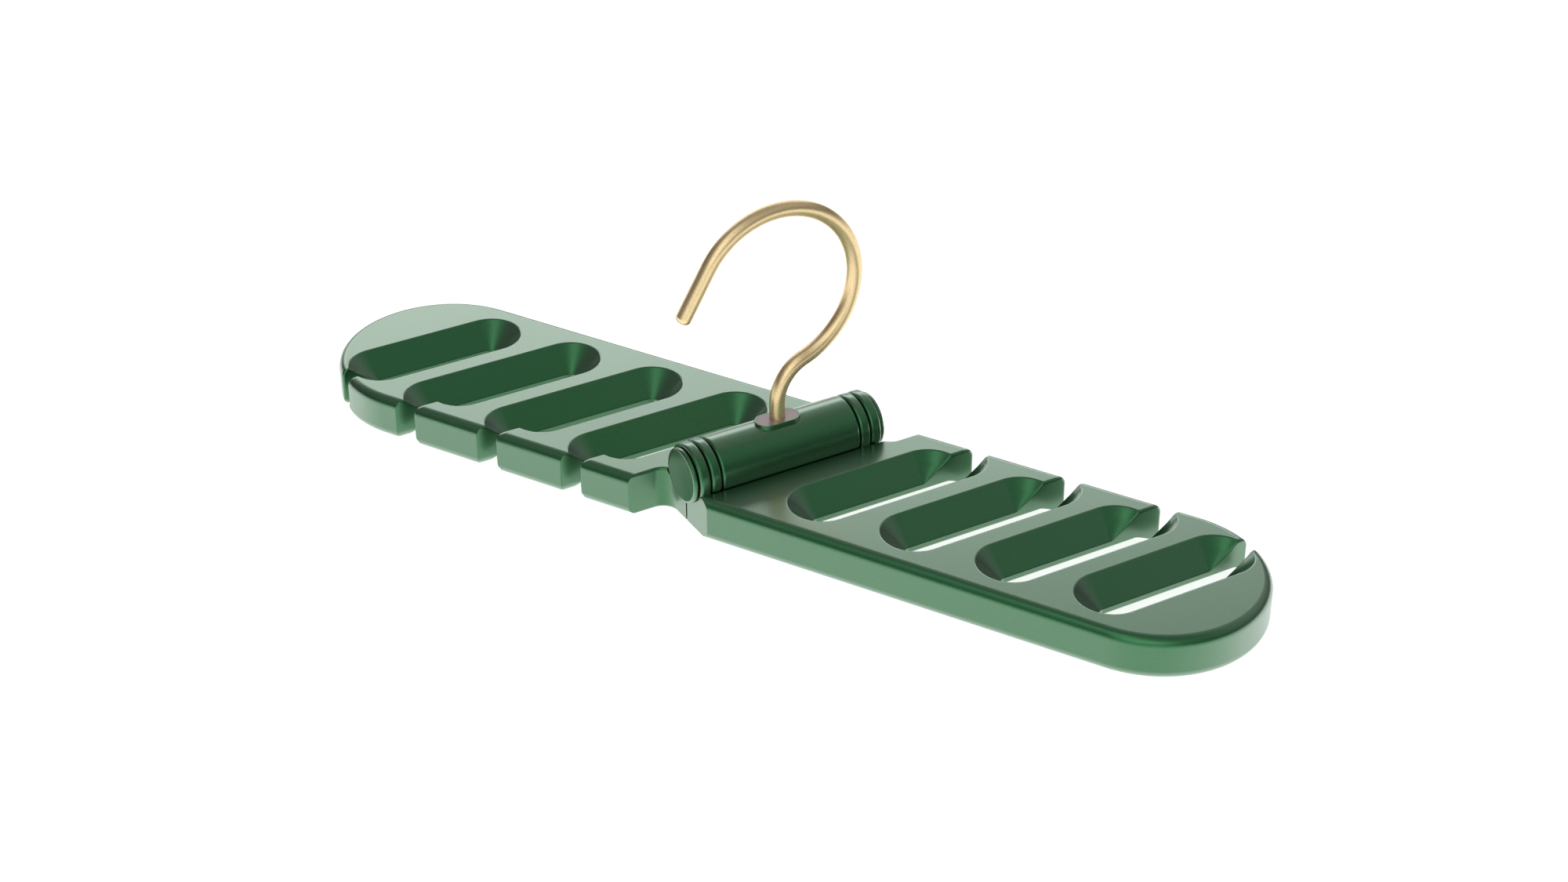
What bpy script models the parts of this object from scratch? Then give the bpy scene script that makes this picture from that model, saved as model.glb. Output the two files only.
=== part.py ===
"""Folding belt hanger: two slotted leaves hinged on a barrel that carries a swivelling wire hook.

Y runs along the hinge, X across it and Z up. The leaves rest on Z = 0 and the hook turns about the Z axis.
All lengths are in metres.
"""

import math

import bmesh
import bpy
from mathutils import Matrix, Vector

# Leaves
LEAF_LENGTH = 0.1468
LEAF_WIDTH = 0.0626
LEAF_THICKNESS = 0.0130
LEAF_SLANT = math.radians(30)
TOP_ROUND = 0.00275
UNDERSIDE_ROUND = 0.0040
INNER_END_GAP = 0.0007
SHOULDER_DISTANCE = 0.0104
SHOULDER_FILLET = 0.0045

# Slots that the belts hang in: flared at both faces, with a straight-sided waist between
SLOT_COUNT = 4
SLOT_PITCH = 0.0250
FIRST_SLOT_DISTANCE = 0.02745
SLOT_CENTRE_LENGTH = 0.03475
SLOT_TOP_WIDTH = 0.0193
SLOT_WAIST_WIDTH = 0.0050
SLOT_UNDERSIDE_WIDTH = 0.0180
WAIST_TOP_DEPTH = 0.00675
WAIST_BOTTOM_DEPTH = 0.00845
OPEN_END_OFFSET = 0.00835
TIP_SLOT_END_OFFSET = 0.0008
EDGE_ROUND = 0.0008

# Hinge
BARREL_RADIUS = 0.0091
BARREL_LENGTH = 0.0443
AXIS_ABOVE_LEAF = 0.0025
GROOVE_WIDTH = 0.0005
INNER_KNUCKLE_LENGTH = 0.00295
OUTER_KNUCKLE_LENGTH = 0.00305
KNUCKLE_INSET = 0.0001
KNUCKLE_ROUND = 0.0007
SEAT_CLEARANCE = 0.0004
PIN_RADIUS = 0.0025
PIN_SOCKET_RADIUS = 0.0015
PIN_SOCKET_DEPTH = 0.0065
WASHER_RADIUS = 0.0050
WASHER_THICKNESS = 0.0008

# Caps on the ends of the pin
CAP_RADIUS = 0.0081
CAP_FACE_RADIUS = 0.0073
CAP_THICKNESS = 0.00125
CAP_BACK_ROUND = 0.0002
CAP_DISH_DEPTH = 0.0007
SPIGOT_LENGTH = 0.0050

# Swivel on top of the barrel
BOSS_HEIGHT_ABOVE_BARREL = 0.0007
BOSS_RIM_WIDTH = 0.00035
BOSS_FLARE = 0.00045
PLATE_WIDTH = 0.0061
PLATE_LENGTH = 0.0128
PLATE_THICKNESS = 0.0015
HEAD_RADIUS = 0.0030
HEAD_THICKNESS = 0.0020
SWIVEL_WASHER_THICKNESS = 0.0005

# Hook
WIRE_DIAMETER = 0.0044
HOOK_RADIUS = 0.02465
HOOK_CENTRE_ABOVE_LEAF = 0.0524
NECK_BEND_RADIUS = 0.0131
TAIL_ANGLE = math.radians(149.2)
TAIL_LENGTH = 0.0165

# Running clearance between pieces, and how far a cutter runs past what it cuts
CLEARANCE = 0.0003
OVERRUN = 0.0020

# Facets
OUTLINE_STEPS = 32
SLOT_END_STEPS = 10
ROUND_STEPS = 2
HINGE_SIDES = 48
PIN_SIDES = 24
WIRE_SIDES = 14
HOOK_STEPS = 34
NECK_STEPS = 9

# Places worked out from the sizes above
AXIS_HEIGHT = LEAF_THICKNESS + AXIS_ABOVE_LEAF
BARREL_END = BARREL_LENGTH / 2
INNER_KNUCKLE_START = BARREL_END + GROOVE_WIDTH
INNER_KNUCKLE_END = INNER_KNUCKLE_START + INNER_KNUCKLE_LENGTH
OUTER_KNUCKLE_START = INNER_KNUCKLE_END + GROOVE_WIDTH
OUTER_KNUCKLE_END = OUTER_KNUCKLE_START + OUTER_KNUCKLE_LENGTH
HINGE_END = OUTER_KNUCKLE_END + KNUCKLE_INSET
BORE_RADIUS = PIN_RADIUS + CLEARANCE
WASHER_POCKET = WASHER_THICKNESS + 2 * CLEARANCE
SEAT_RADIUS = BARREL_RADIUS + SEAT_CLEARANCE
WIRE_RADIUS = WIRE_DIAMETER / 2
BOSS_TOP = BARREL_RADIUS + BOSS_HEIGHT_ABOVE_BARREL
PLATE_SEAT = BOSS_TOP - PLATE_THICKNESS - CLEARANCE
SWIVEL_HOLE_RADIUS = WIRE_RADIUS + CLEARANCE
HEAD_TOP = PLATE_SEAT - SWIVEL_WASHER_THICKNESS - CLEARANCE
HEAD_POCKET_FLOOR = HEAD_TOP - HEAD_THICKNESS - CLEARANCE


def clear_scene():
    for item in list(bpy.data.objects):
        bpy.data.objects.remove(item, do_unlink=True)


def finish(name, colour, roughness, metallic):
    material = bpy.data.materials.new(name)
    material.use_nodes = True
    shader = material.node_tree.nodes["Principled BSDF"]
    shader.inputs["Base Color"].default_value = (*colour, 1.0)
    shader.inputs["Roughness"].default_value = roughness
    shader.inputs["Metallic"].default_value = metallic
    return material


def object_from(bm, name, material=None):
    bmesh.ops.recalc_face_normals(bm, faces=bm.faces[:])
    mesh = bpy.data.meshes.new(name)
    bm.to_mesh(mesh)
    bm.free()
    if material is not None:
        mesh.materials.append(material)
    item = bpy.data.objects.new(name, mesh)
    bpy.context.collection.objects.link(item)
    return item


def smooth(item, angle=math.radians(32)):
    item.data.shade_smooth()
    item.data.set_sharp_from_angle(angle=angle)


def loft(rings, name, material=None):
    """Closed solid whose sections are rings of points, all of one length."""
    bm = bmesh.new()
    loops = [[bm.verts.new(point) for point in ring] for ring in rings]
    count = len(loops[0])
    for lower, upper in zip(loops, loops[1:]):
        for i in range(count):
            j = (i + 1) % count
            bm.faces.new((lower[i], lower[j], upper[j], upper[i]))
    bm.faces.new(list(reversed(loops[0])))
    bm.faces.new(loops[-1])
    return object_from(bm, name, material)


def turned(profile, sides, name, material=None, axis=(0, 1, 0)):
    """Solid of revolution: the profile holds (distance along the axis, radius) pairs."""
    bm = bmesh.new()
    along = Vector(axis)
    out = Vector((1, 0, 0))
    points = [bm.verts.new(along * place + out * radius) for place, radius in profile]
    edges = [bm.edges.new(pair) for pair in zip(points, points[1:])]
    ends_on_axis = profile[0][1] == 0 and profile[-1][1] == 0
    if not ends_on_axis:
        edges.append(bm.edges.new((points[-1], points[0])))
    bmesh.ops.spin(bm, geom=points + edges, cent=(0, 0, 0), axis=along, angle=math.tau,
                   steps=sides, use_merge=True)
    bmesh.ops.remove_doubles(bm, verts=bm.verts[:], dist=CLEARANCE / 100)
    return object_from(bm, name, material)


def shape_with(item, operation, tool):
    """Joins or cuts an object with a tool object, and takes the tool away."""
    step = item.modifiers.new(operation.title(), "BOOLEAN")
    step.operation = operation
    step.solver = "EXACT"
    step.object = tool
    bpy.context.view_layer.update()
    shaped = item.evaluated_get(bpy.context.evaluated_depsgraph_get())
    mesh = bpy.data.meshes.new_from_object(shaped)
    item.modifiers.clear()
    item.data = mesh
    mesh.name = item.name
    bpy.data.objects.remove(tool, do_unlink=True)


def join_tools(tools, name):
    """One tool from separate ones that don't meet."""
    bm = bmesh.new()
    for tool in tools:
        bm.from_mesh(tool.data)
        bpy.data.objects.remove(tool, do_unlink=True)
    bmesh.ops.remove_doubles(bm, verts=bm.verts[:], dist=CLEARANCE / 100)
    return object_from(bm, name)


def arc(centre, radius, start, end, steps):
    """Points on an arc in a plane, from one angle to another, both included."""
    angles = [start + (end - start) * i / steps for i in range(steps + 1)]
    return [(centre[0] + radius * math.cos(a), centre[1] + radius * math.sin(a)) for a in angles]


def rounded_disc(start, end, radius, corner, steps=ROUND_STEPS):
    """Profile of a solid disc with rounded rims, along the axis from start to end."""
    quarter = math.pi / 2
    first = arc((start + corner, radius - corner), corner, 2 * quarter, quarter, steps)
    last = arc((end - corner, radius - corner), corner, quarter, 0, steps)
    return [(start, 0)] + first + last + [(end, 0)]


def prism(outline, bottom, top, name):
    rings = [[(x, y, height) for x, y in outline] for height in (bottom, top)]
    return loft(rings, name)


def obround(width, length, steps=SLOT_END_STEPS):
    """Outline of a straight slot along Y with half-round ends."""
    radius = width / 2
    reach = length / 2 - radius
    return arc((0, reach), radius, 0, math.pi, steps) + arc((0, -reach), radius, math.pi, math.tau, steps)


# Leaf, in the hinge's own frame: the axis is Y through the origin

def leaf_section(inset, height):
    """Long straight-sided outline with one round end, drawn in by an inset and turned to the slant."""
    radius = LEAF_WIDTH / 2 - inset
    centre = LEAF_LENGTH - LEAF_WIDTH / 2
    start = -LEAF_WIDTH / 2
    outline = [(start, -radius)] + arc((centre, 0), radius, -math.pi / 2, math.pi / 2, OUTLINE_STEPS)
    outline.append((start, radius))
    turn = Matrix.Rotation(LEAF_SLANT, 4, "Z")
    return [turn @ Vector((x, y, height)) for x, y in outline]


def leaf_blank(material):
    """Slab with a full round end and rounded edges, before anything is cut."""
    underside = -AXIS_HEIGHT
    top = -AXIS_ABOVE_LEAF
    quarter = math.pi / 2
    lower = arc((UNDERSIDE_ROUND, underside + UNDERSIDE_ROUND), UNDERSIDE_ROUND,
                -quarter, -2 * quarter, ROUND_STEPS + 1)
    upper = arc((TOP_ROUND, top - TOP_ROUND), TOP_ROUND, 2 * quarter, quarter, ROUND_STEPS + 1)
    rings = [leaf_section(inset, height) for inset, height in lower + upper]
    return loft(rings, "leaf_right", material)


def hinge_end_tool():
    """Cuts the square inner end, with a shoulder on one side only."""
    reach = 2 * LEAF_WIDTH
    inner = INNER_END_GAP / 2
    corner = arc((SHOULDER_DISTANCE - SHOULDER_FILLET, HINGE_END + SHOULDER_FILLET), SHOULDER_FILLET,
                 -math.pi / 2, 0, ROUND_STEPS + 2)
    outline = [(-reach, -reach), (LEAF_WIDTH / 2, -reach), (LEAF_WIDTH / 2, -HINGE_END), (inner, -HINGE_END),
               (inner, HINGE_END)] + corner + [(SHOULDER_DISTANCE, reach), (-reach, reach)]
    return prism(outline, -AXIS_HEIGHT - OVERRUN, OVERRUN - AXIS_ABOVE_LEAF, "hinge_end_tool")


def edge_widening(slope, depth):
    """How far an edge rounding stands back from the wall's own line, at a depth below the flat face.

    The wall leans by slope from the vertical, and the rounding touches both the wall and the face.
    """
    tangent = EDGE_ROUND * math.tan((math.pi / 2 - slope) / 2)
    if depth >= tangent * math.cos(slope):
        return 0
    below_centre = EDGE_ROUND - depth
    round_wall = tangent - math.sqrt(EDGE_ROUND ** 2 - below_centre ** 2)
    return round_wall + depth * math.tan(slope)


def slot_levels(top_width, slope, flat_face, inward):
    """Half widths of slot and gap against height, from beyond a flat face in to the end of its edge rounding."""
    levels = []
    for step in range(ROUND_STEPS + 1):
        depth = EDGE_ROUND * step / ROUND_STEPS
        slot_half = top_width / 2 - depth * math.tan(slope) + edge_widening(slope, depth)
        gap_half = SLOT_WAIST_WIDTH / 2 + edge_widening(0, depth)
        levels.append((slot_half, gap_half, flat_face + inward * depth))
    slot_half, gap_half, _ = levels[0]
    return [(slot_half, gap_half, flat_face - inward * OVERRUN)] + levels


def slot_profile():
    """Half widths of slot and gap against height, from below the leaf through the waist to above it."""
    waist = SLOT_WAIST_WIDTH / 2
    waist_top = LEAF_THICKNESS - WAIST_TOP_DEPTH
    waist_bottom = LEAF_THICKNESS - WAIST_BOTTOM_DEPTH
    upper_slope = math.atan2(SLOT_TOP_WIDTH / 2 - waist, WAIST_TOP_DEPTH)
    lower_slope = math.atan2(SLOT_UNDERSIDE_WIDTH / 2 - waist, waist_bottom)
    lower = slot_levels(SLOT_UNDERSIDE_WIDTH, lower_slope, 0, 1)
    upper = slot_levels(SLOT_TOP_WIDTH, upper_slope, LEAF_THICKNESS, -1)
    return lower + [(waist, waist, waist_bottom)], [(waist, waist, waist_top)] + list(reversed(upper))


def slot_place(index):
    """Centre of a slot on the leaf's slanted middle line."""
    x = FIRST_SLOT_DISTANCE + index * SLOT_PITCH
    return x, x * math.tan(LEAF_SLANT)


def slot_outline(half_width, gap, tip_side_offset, hinge_side_offset):
    """Round closed end, then an open end that turns in to the entry gap on both sides.

    The two arcs of the open end are centred at offsets of their own beyond the slot's straight part.
    """
    reach = SLOT_CENTRE_LENGTH / 2
    turn = math.acos(min(1, gap / half_width))
    far = reach + tip_side_offset
    near = reach + hinge_side_offset
    out = LEAF_WIDTH
    outline = arc((0, -reach), half_width, math.pi, math.tau, SLOT_END_STEPS)
    outline += arc((0, far), half_width, 0, turn, SLOT_END_STEPS // 2)
    outline += [(gap, out), (-gap, out)]
    outline += arc((0, near), half_width, math.pi - turn, math.pi, SLOT_END_STEPS // 2)
    return outline


def slot_tool(index):
    """Flared slot along Y with its entry gap out through the leaf's long edge.

    The last slot closes in sooner on its tip side, where the leaf's round end leaves less room.
    """
    x, y = slot_place(index)
    last = index == SLOT_COUNT - 1
    tip_side_offset = TIP_SLOT_END_OFFSET if last else OPEN_END_OFFSET
    lower, upper = slot_profile()
    rings = []
    for levels, hinge_side_offset in ((lower, OPEN_END_OFFSET), (upper, 0)):
        for half_width, gap, height in levels:
            outline = slot_outline(half_width, gap, tip_side_offset, hinge_side_offset)
            rings.append([(x + a, y + b, height - AXIS_HEIGHT) for a, b in outline])
    return loft(rings, f"slot_tool_{index}")


def seat_tool():
    """Round seat that clears the barrel and the other leaf's knuckles."""
    spans = [(-INNER_KNUCKLE_END - CLEARANCE, BARREL_END + CLEARANCE),
             (OUTER_KNUCKLE_START - CLEARANCE, HINGE_END + OVERRUN)]
    tools = []
    for start, end in spans:
        profile = [(start, 0), (start, SEAT_RADIUS), (end, SEAT_RADIUS), (end, 0)]
        tools.append(turned(profile, HINGE_SIDES, "seat_tool"))
    return join_tools(tools, "seat_tool")


def knuckle_pair():
    """The leaf's own outer knuckle at one end and inner knuckle at the other."""
    spans = [(-OUTER_KNUCKLE_END, -OUTER_KNUCKLE_START), (INNER_KNUCKLE_START, INNER_KNUCKLE_END)]
    rings = []
    for start, end in spans:
        profile = rounded_disc(start, end, BARREL_RADIUS, KNUCKLE_ROUND)
        rings.append(turned(profile, HINGE_SIDES, "knuckle"))
    return join_tools(rings, "knuckle_pair")


def bore_tool():
    """Pin bore through the whole hinge, with a pocket round each wear washer."""
    pocket_radius = WASHER_RADIUS + CLEARANCE
    end = HINGE_END + OVERRUN
    profile = [(-end, 0), (-end, BORE_RADIUS)]
    for middle in washer_places():
        start = middle - WASHER_POCKET / 2
        stop = middle + WASHER_POCKET / 2
        profile += [(start, BORE_RADIUS), (start, pocket_radius), (stop, pocket_radius), (stop, BORE_RADIUS)]
    profile += [(end, BORE_RADIUS), (end, 0)]
    return turned(profile, PIN_SIDES, "bore_tool")


def washer_places():
    """Middles of the grooves beside the knuckles, from front to rear."""
    inner = BARREL_END + GROOVE_WIDTH / 2
    outer = INNER_KNUCKLE_END + GROOVE_WIDTH / 2
    return [-outer, -inner, inner, outer]


def make_leaves(material):
    right = leaf_blank(material)
    shape_with(right, "DIFFERENCE", hinge_end_tool())
    slots = [slot_tool(i) for i in range(SLOT_COUNT)]
    shape_with(right, "DIFFERENCE", join_tools(slots, "slot_tools"))
    shape_with(right, "DIFFERENCE", seat_tool())
    shape_with(right, "UNION", knuckle_pair())
    shape_with(right, "DIFFERENCE", bore_tool())
    smooth(right)
    left = bpy.data.objects.new("leaf_left", right.data)
    bpy.context.collection.objects.link(left)
    left.rotation_euler.z = math.pi
    for leaf in (right, left):
        leaf.location.z = AXIS_HEIGHT


# Barrel and what is held in it

def make_barrel(material):
    profile = rounded_disc(-BARREL_END, BARREL_END, BARREL_RADIUS, KNUCKLE_ROUND)
    barrel = turned(profile, HINGE_SIDES, "barrel", material)
    shape_with(barrel, "UNION", boss())
    recess = prism(obround(PLATE_WIDTH + 2 * CLEARANCE, PLATE_LENGTH + 2 * CLEARANCE),
                   PLATE_SEAT, BOSS_TOP + OVERRUN, "recess_tool")
    shape_with(barrel, "DIFFERENCE", recess)
    pocket_radius = HEAD_RADIUS + CLEARANCE
    pocket = turned([(HEAD_POCKET_FLOOR, 0), (HEAD_POCKET_FLOOR, pocket_radius),
                     (PLATE_SEAT + CLEARANCE, pocket_radius), (PLATE_SEAT + CLEARANCE, 0)],
                    PIN_SIDES, "pocket_tool", axis=(0, 0, 1))
    shape_with(barrel, "DIFFERENCE", pocket)
    shape_with(barrel, "DIFFERENCE", bore_tool())
    barrel.location.z = AXIS_HEIGHT
    smooth(barrel)


def boss():
    """Low obround boss whose side flares a little as it meets the barrel."""
    rim = 2 * (CLEARANCE + BOSS_RIM_WIDTH)
    levels = [(BARREL_RADIUS / 2, 2 * BOSS_FLARE), (BARREL_RADIUS - BOSS_HEIGHT_ABOVE_BARREL, 2 * BOSS_FLARE),
              (BOSS_TOP - BOSS_RIM_WIDTH, BOSS_FLARE / 2), (BOSS_TOP, 0)]
    rings = []
    for height, spread in levels:
        outline = obround(PLATE_WIDTH + rim + spread, PLATE_LENGTH + rim + spread)
        rings.append([(x, y, height) for x, y in outline])
    return loft(rings, "boss")


def make_pin(material):
    """Axle through all the knuckles, with a blind socket in each end."""
    socket_floor = HINGE_END - PIN_SOCKET_DEPTH
    half = [(socket_floor, 0), (socket_floor, PIN_SOCKET_RADIUS), (HINGE_END, PIN_SOCKET_RADIUS),
            (HINGE_END, PIN_RADIUS)]
    profile = [(-place, radius) for place, radius in half] + list(reversed(half))
    pin = turned(profile, PIN_SIDES, "hinge_pin", material)
    pin.location.z = AXIS_HEIGHT
    smooth(pin)


def make_caps(material):
    """Dished caps whose spigots hold in the ends of the pin."""
    back = HINGE_END + CLEARANCE
    face = back + CAP_THICKNESS
    spigot_radius = PIN_SOCKET_RADIUS - CLEARANCE
    rim = CAP_RADIUS - CAP_FACE_RADIUS
    rounding = arc((face - rim, CAP_FACE_RADIUS), rim, math.pi / 2, 0, ROUND_STEPS)
    sphere = (CAP_FACE_RADIUS ** 2 + CAP_DISH_DEPTH ** 2) / (2 * CAP_DISH_DEPTH)
    spread = math.asin(CAP_FACE_RADIUS / sphere)
    middle = face - CAP_DISH_DEPTH + sphere
    dish = arc((middle, 0), sphere, math.pi - spread, math.pi, ROUND_STEPS + 2)[1:-1]
    profile = [(back - SPIGOT_LENGTH, 0), (back - SPIGOT_LENGTH, spigot_radius), (back, spigot_radius),
               (back, CAP_RADIUS - CAP_BACK_ROUND), (back + CAP_BACK_ROUND, CAP_RADIUS)]
    profile += rounding + dish + [(face - CAP_DISH_DEPTH, 0)]
    for name, turn in (("pin_cap_front", math.pi), ("pin_cap_rear", 0)):
        cap = turned(profile, HINGE_SIDES, name, material)
        cap.rotation_euler.z = turn
        cap.location.z = AXIS_HEIGHT
        smooth(cap)


def make_washers(material):
    """Wear washers between the knuckles and the barrel."""
    names = ("wear_washer_front_outer", "wear_washer_front_inner",
             "wear_washer_rear_inner", "wear_washer_rear_outer")
    half = WASHER_THICKNESS / 2
    for name, place in zip(names, washer_places()):
        profile = [(-half, BORE_RADIUS), (-half, WASHER_RADIUS), (half, WASHER_RADIUS), (half, BORE_RADIUS)]
        washer = turned(profile, PIN_SIDES, name, material)
        washer.location = (0, place, AXIS_HEIGHT)
        smooth(washer)


def make_swivel_plate(material):
    """Obround plate, flush in the boss, that the hook's shank turns in."""
    bottom = BOSS_TOP - PLATE_THICKNESS
    plate = prism(obround(PLATE_WIDTH, PLATE_LENGTH), bottom, BOSS_TOP, "swivel_plate")
    plate.data.materials.append(material)
    hole = turned([(bottom - OVERRUN, 0), (bottom - OVERRUN, SWIVEL_HOLE_RADIUS),
                   (BOSS_TOP + OVERRUN, SWIVEL_HOLE_RADIUS), (BOSS_TOP + OVERRUN, 0)],
                  PIN_SIDES, "shank_hole_tool", axis=(0, 0, 1))
    shape_with(plate, "DIFFERENCE", hole)
    plate.location.z = AXIS_HEIGHT
    smooth(plate)


def make_swivel_washer(material):
    """Thrust washer between the hook's head and the plate."""
    bottom = HEAD_TOP + CLEARANCE / 2
    top = bottom + SWIVEL_WASHER_THICKNESS
    profile = [(bottom, SWIVEL_HOLE_RADIUS), (bottom, HEAD_RADIUS), (top, HEAD_RADIUS), (top, SWIVEL_HOLE_RADIUS)]
    washer = turned(profile, PIN_SIDES, "swivel_washer", material, axis=(0, 0, 1))
    washer.location.z = AXIS_HEIGHT
    smooth(washer)


# Hook, bent from one wire in the plane of the hinge axis

def hook_path():
    """Centre line as (y, z, heading) triples: neck, bend towards the rear, crook and straight tail."""
    centre = (0, HOOK_CENTRE_ABOVE_LEAF - AXIS_ABOVE_LEAF)
    across = HOOK_RADIUS + NECK_BEND_RADIUS
    neck_top = centre[1] - math.sqrt(across ** 2 - NECK_BEND_RADIUS ** 2)
    bend = (NECK_BEND_RADIUS, neck_top)
    meeting = math.atan2(centre[1] - neck_top, centre[0] - NECK_BEND_RADIUS)
    path = [(0, HEAD_TOP, math.pi / 2)]
    for i in range(NECK_STEPS + 1):
        angle = math.pi + (meeting - math.pi) * i / NECK_STEPS
        y, z = arc(bend, NECK_BEND_RADIUS, angle, angle, 1)[0]
        path.append((y, z, angle - math.pi / 2))
    start = meeting - math.pi
    for i in range(1, HOOK_STEPS + 1):
        angle = start + (TAIL_ANGLE - start) * i / HOOK_STEPS
        y, z = arc(centre, HOOK_RADIUS, angle, angle, 1)[0]
        path.append((y, z, angle + math.pi / 2))
    return path


def make_hook(material):
    sections = [(0, HEAD_TOP - HEAD_THICKNESS, math.pi / 2, HEAD_RADIUS), (0, HEAD_TOP, math.pi / 2, HEAD_RADIUS)]
    sections += [(y, z, heading, WIRE_RADIUS) for y, z, heading in hook_path()]
    y, z, heading, _ = sections[-1]
    tip = TAIL_LENGTH - WIRE_RADIUS
    for i in range(ROUND_STEPS + 1):
        angle = math.pi / 2 * i / (ROUND_STEPS + 1)
        run = tip + WIRE_RADIUS * math.sin(angle)
        sections.append((y + run * math.cos(heading), z + run * math.sin(heading), heading,
                         WIRE_RADIUS * math.cos(angle)))
    rings = []
    for y, z, heading, radius in sections:
        side = Vector((0, -math.sin(heading), math.cos(heading)))
        ring = []
        for i in range(WIRE_SIDES):
            turn = math.tau * i / WIRE_SIDES
            ring.append(Vector((radius * math.cos(turn), y, z)) + side * radius * math.sin(turn))
        rings.append(ring)
    hook = loft(rings, "hook", material)
    hook.location.z = AXIS_HEIGHT
    smooth(hook)


def main():
    clear_scene()
    green = finish("satin_green", (0.10, 0.23, 0.12), 0.38, 0.0)
    gold = finish("satin_gold", (0.72, 0.52, 0.28), 0.28, 1.0)
    steel = finish("pin_steel", (0.60, 0.60, 0.60), 0.35, 1.0)
    rose = finish("rose_plate", (0.38, 0.33, 0.34), 0.40, 0.6)
    polymer = finish("washer_polymer", (0.05, 0.05, 0.05), 0.5, 0.0)
    make_leaves(green)
    make_barrel(green)
    make_pin(steel)
    make_caps(green)
    make_washers(polymer)
    make_swivel_plate(rose)
    make_swivel_washer(polymer)
    make_hook(gold)


main()
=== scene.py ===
"""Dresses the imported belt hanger: leaves, barrel, caps, inlay plate and wire hook, their finishes and a studio stage.

Y runs along the hinge, X across it and Z up. All lengths are in metres.
"""

import math

import bmesh
import bpy
from bpy.props import FloatProperty, FloatVectorProperty, IntProperty, PointerProperty
from bpy.types import Operator, Panel, PropertyGroup
from mathutils import Matrix, Vector


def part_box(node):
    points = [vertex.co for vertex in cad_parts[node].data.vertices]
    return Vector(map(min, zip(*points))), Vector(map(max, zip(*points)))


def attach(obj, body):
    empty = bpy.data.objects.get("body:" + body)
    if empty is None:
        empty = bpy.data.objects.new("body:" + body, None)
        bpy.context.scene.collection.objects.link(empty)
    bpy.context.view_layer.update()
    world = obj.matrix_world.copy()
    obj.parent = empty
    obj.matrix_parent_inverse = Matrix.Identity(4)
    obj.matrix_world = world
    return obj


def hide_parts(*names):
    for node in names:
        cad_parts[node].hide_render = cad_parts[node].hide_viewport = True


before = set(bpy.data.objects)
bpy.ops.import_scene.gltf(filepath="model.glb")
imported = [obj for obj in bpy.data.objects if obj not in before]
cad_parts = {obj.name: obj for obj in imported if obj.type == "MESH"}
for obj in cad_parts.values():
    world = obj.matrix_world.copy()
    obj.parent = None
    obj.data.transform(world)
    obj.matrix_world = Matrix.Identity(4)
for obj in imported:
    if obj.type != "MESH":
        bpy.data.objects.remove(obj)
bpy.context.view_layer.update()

bl_info = {
    "name": "Belt Hanger",
    "version": (1, 0, 0),
    "blender": (4, 5, 0),
    "location": "View3D > Sidebar > Belt Hanger",
    "description": "Builds the finished pieces of a folding belt hanger around its frame",
    "category": "Object",
}

# Places read from the frame
BARREL_LOW, BARREL_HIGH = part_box("barrel")
CAP_LOW, CAP_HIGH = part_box("pin_cap_rear")
PIN_LOW, PIN_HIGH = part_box("hinge_pin")
PLATE_LOW, PLATE_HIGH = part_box("swivel_plate")
HOOK_LOW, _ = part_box("hook")
AXIS_HEIGHT = (PIN_LOW.z + PIN_HIGH.z) / 2
BARREL_RADIUS = (BARREL_HIGH.x - BARREL_LOW.x) / 2
BARREL_END = BARREL_HIGH.y
HINGE_END = PIN_HIGH.y
PIN_RADIUS = (PIN_HIGH.x - PIN_LOW.x) / 2
CAP_RADIUS = (CAP_HIGH.x - CAP_LOW.x) / 2
PLATE_WIDTH = PLATE_HIGH.x - PLATE_LOW.x
PLATE_LENGTH = PLATE_HIGH.y - PLATE_LOW.y

QUARTER = math.pi / 2
SHARP_ANGLE = math.radians(28)
WIRE_SHARP_ANGLE = math.radians(40)


def length(name, description, default):
    """A size that a user can set, in metres."""
    return FloatProperty(name=name, description=description, default=default, min=0, precision=5,
                         unit="LENGTH", subtype="DISTANCE")


def colour(name, description, default):
    """A colour that a user can set."""
    return FloatVectorProperty(name=name, description=description, default=default, size=3,
                               min=0, max=1, subtype="COLOR")


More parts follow.
